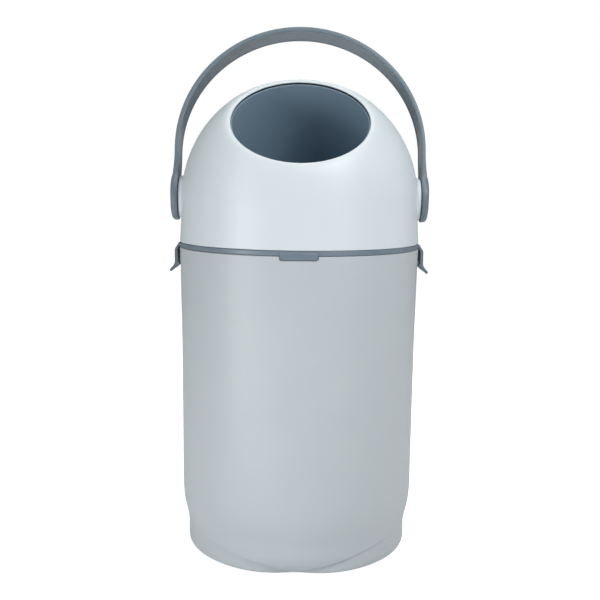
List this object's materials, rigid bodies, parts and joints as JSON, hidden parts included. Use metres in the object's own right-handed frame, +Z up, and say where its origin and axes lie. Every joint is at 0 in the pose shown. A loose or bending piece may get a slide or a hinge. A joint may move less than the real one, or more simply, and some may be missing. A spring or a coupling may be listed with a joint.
{
  "type": "nappy bin",
  "caption": "Tall round nappy bin with a domed clip-on head, a wide tilted opening and an arched carrying handle that turns the ball-shaped drum inside.",
  "frame": {"origin": "on the floor, under the middle of the round bin", "axes": "+Z up, -Y out of the front (the side of the opening and of the front tab), +X to the right as seen from the front, along the handle's pivots"},
  "size_m": [0.2912, 0.27, 0.5948],
  "materials": {
    "bin_plastic": "satin moulded plastic, cool white",
    "dome_plastic": "satin moulded plastic, cool white",
    "grey_plastic": "satin moulded plastic, blue grey",
    "drum_plastic": "smooth moulded plastic, slate grey",
    "rubber": "moulded rubber",
    "seal_rubber": "soft dark sealing rubber",
    "nylon": "natural nylon",
    "steel": "zinc plated steel"
  },
  "bodies": {
    "bin": {"bin_body": "bin_plastic", "rubber_feet": "rubber"},
    "liner": {"bag_ring": "grey_plastic"},
    "head": {"dome_shell": "dome_plastic", "base_ring": "grey_plastic", "rim_gasket": "seal_rubber", "drum_seal": "seal_rubber", "base_ring_screws": "steel", "pivot_bush_left": "nylon", "pivot_bush_right": "nylon", "clip_pin_left": "steel", "clip_pin_right": "steel"},
    "drum": {"drum_front_shell": "drum_plastic", "drum_back_shell": "drum_plastic", "drum_cup": "drum_plastic", "handle": "grey_plastic", "trunnion_left": "nylon", "trunnion_right": "nylon", "thrust_washer_left": "nylon", "thrust_washer_right": "nylon", "trunnion_screws": "steel", "pivot_cap_left": "grey_plastic", "pivot_cap_right": "grey_plastic"},
    "clip_l": {"clip_left": "grey_plastic"},
    "clip_r": {"clip_right": "grey_plastic"}
  },
  "joints": [
    {"name": "head_lift", "type": "slide", "parent": "bin", "child": "head", "axis": [0, 0, 1], "range_m": [0, 0.2]},
    {"name": "bag_ring_lift", "type": "slide", "parent": "bin", "child": "liner", "axis": [0, 0, 1], "range_m": [0, 0.08]},
    {"name": "handle_turn", "type": "hinge", "parent": "head", "child": "drum", "pos_m": [0, 0, 0.4], "axis": [1, 0, 0], "range_deg": [0, 143]},
    {"name": "clip_left_turn", "type": "hinge", "parent": "head", "child": "clip_l", "pos_m": [-0.1333, 0, 0.3486], "axis": [0, 1, 0], "range_deg": [0, 60]},
    {"name": "clip_right_turn", "type": "hinge", "parent": "head", "child": "clip_r", "pos_m": [0.1333, 0, 0.3486], "axis": [0, -1, 0], "range_deg": [0, 60]}
  ],
  "couplings": [
    {"joint": "bag_ring_lift", "follows": "head_lift", "ratio": 0.4}
  ]
}
